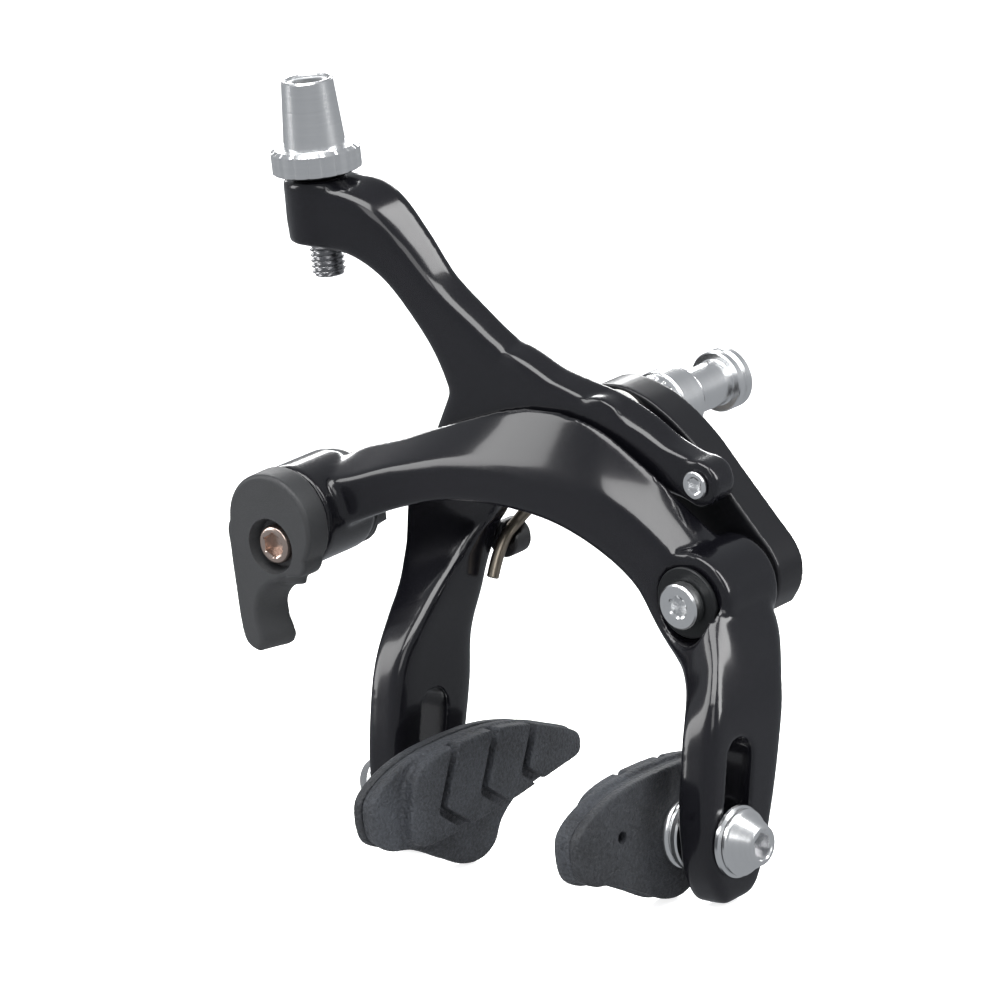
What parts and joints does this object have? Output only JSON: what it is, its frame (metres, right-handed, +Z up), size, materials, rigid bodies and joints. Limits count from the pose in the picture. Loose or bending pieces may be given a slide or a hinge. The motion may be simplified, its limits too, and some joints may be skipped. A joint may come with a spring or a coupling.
{
  "type": "rim brake caliper",
  "caption": "Dual-pivot side-pull rim brake caliper with two curved arms, sliding pads in leg slots, a quick release lever and a barrel adjuster.",
  "frame": {"origin": "on the centre bolt axis, at the face of the seat washer that rests on the fork", "axes": "+Y along the centre bolt towards the fork, +Z up, +X to the right seen from the front"},
  "size_m": [0.1143, 0.0841, 0.1314],
  "materials": {
    "black_arm": "gloss",
    "steel": "satin",
    "dark_steel": "satin",
    "silver": "polished",
    "nylon": "matte",
    "black_washer": "satin",
    "spring_steel": "satin",
    "black_plastic": "matte",
    "bronze": "satin",
    "zinc_screw": "satin",
    "grey_cap": "matte",
    "seal_rubber": "matte",
    "lever_plastic": "matte",
    "pad_rubber": "matte",
    "pad_back": "matte"
  },
  "bodies": {
    "mount": {"pivot_bracket": "black_arm", "centre_bolt": "steel", "serrated_washer": "silver", "seat_washer": "silver", "mount_sleeve_nut": "silver", "centre_thrust_washer": "nylon", "side_pivot_bolt": "steel", "side_pivot_washer": "black_washer", "side_thrust_washer": "nylon", "return_spring": "spring_steel", "spring_seat": "black_plastic"},
    "centre_arm": {"y_arm": "black_arm", "centre_bushing": "bronze", "left_spring_shoe": "black_plastic", "adjuster_seal": "seal_rubber"},
    "centring_screw": {"centring_screw": "zinc_screw"},
    "housing_seat": {"adjuster_cap": "grey_cap"},
    "adjuster": {"adjuster_barrel": "silver", "adjuster_lock_ring": "silver", "adjuster_stud": "steel"},
    "side_arm": {"c_arm": "black_arm", "side_bushing": "bronze", "right_spring_shoe": "black_plastic"},
    "quick_release": {"qr_lever": "lever_plastic", "qr_cam": "black_plastic", "qr_washer": "dark_steel", "anchor_bolt": "zinc_screw", "cable_clamp": "dark_steel", "anchor_nut": "dark_steel"},
    "left_slider": {"left_inner_cup": "silver", "left_outer_cup": "silver"},
    "left_pad": {"left_pad_rubber": "pad_rubber", "left_pad_plate": "pad_back", "left_pad_stud": "steel", "left_inner_dome": "silver", "left_pad_nut": "silver"},
    "right_slider": {"right_inner_cup": "silver", "right_outer_cup": "silver"},
    "right_pad": {"right_pad_rubber": "pad_rubber", "right_pad_plate": "pad_back", "right_pad_stud": "steel", "right_inner_dome": "silver", "right_pad_nut": "silver"}
  },
  "joints": [
    {"name": "centre_arm_pivot", "type": "hinge", "parent": "mount", "child": "centre_arm", "pos_m": [0, -0.0199, 0], "axis": [0, 1, 0], "range_deg": [-7, 1], "stiffness_Nm_per_rad": 3, "deforming": ["return_spring"]},
    {"name": "side_arm_pivot", "type": "hinge", "parent": "mount", "child": "side_arm", "pos_m": [0.0235, -0.0236, -0.025], "axis": [0, 1, 0], "range_deg": [-1.7, 12], "stiffness_Nm_per_rad": 1.2},
    {"name": "quick_release_turn", "type": "hinge", "parent": "side_arm", "child": "quick_release", "pos_m": [-0.0606, -0.0309, -0.0173], "axis": [0, 1, 0], "range_deg": [0, 95]},
    {"name": "centring_screw_turn", "type": "hinge", "parent": "centre_arm", "child": "centring_screw", "pos_m": [0.0208, -0.02, -0.007], "axis": [0, -1, 0], "range_deg": [-180, 180]},
    {"name": "adjuster_feed", "type": "slide", "parent": "centre_arm", "child": "housing_seat", "axis": [0, 0, 1], "range_m": [0, 0.005]},
    {"name": "adjuster_turn", "type": "hinge", "parent": "housing_seat", "child": "adjuster", "pos_m": [-0.0583, -0.022, 0.045], "axis": [0, 0, 1], "range_deg": [0, 1800]},
    {"name": "left_pad_height", "type": "slide", "parent": "centre_arm", "child": "left_slider", "axis": [0, -0.2588, -0.9659], "range_m": [-0.008, 0.0012]},
    {"name": "left_pad_tilt", "type": "hinge", "parent": "left_slider", "child": "left_pad", "pos_m": [-0.034, -0.04219, -0.06187], "axis": [1, 0, 0], "range_deg": [-12, 12]},
    {"name": "right_pad_height", "type": "slide", "parent": "side_arm", "child": "right_slider", "axis": [0, -0.2588, -0.9659], "range_m": [-0.008, 0.0012]},
    {"name": "right_pad_tilt", "type": "hinge", "parent": "right_slider", "child": "right_pad", "pos_m": [0.034, -0.04219, -0.06187], "axis": [1, 0, 0], "range_deg": [-12, 12]}
  ],
  "couplings": [
    {"joint": "side_arm_pivot", "follows": "centre_arm_pivot", "ratio": -1.6781},
    {"joint": "adjuster_turn", "follows": "adjuster_feed", "rad_per_m": 6283.2}
  ]
}
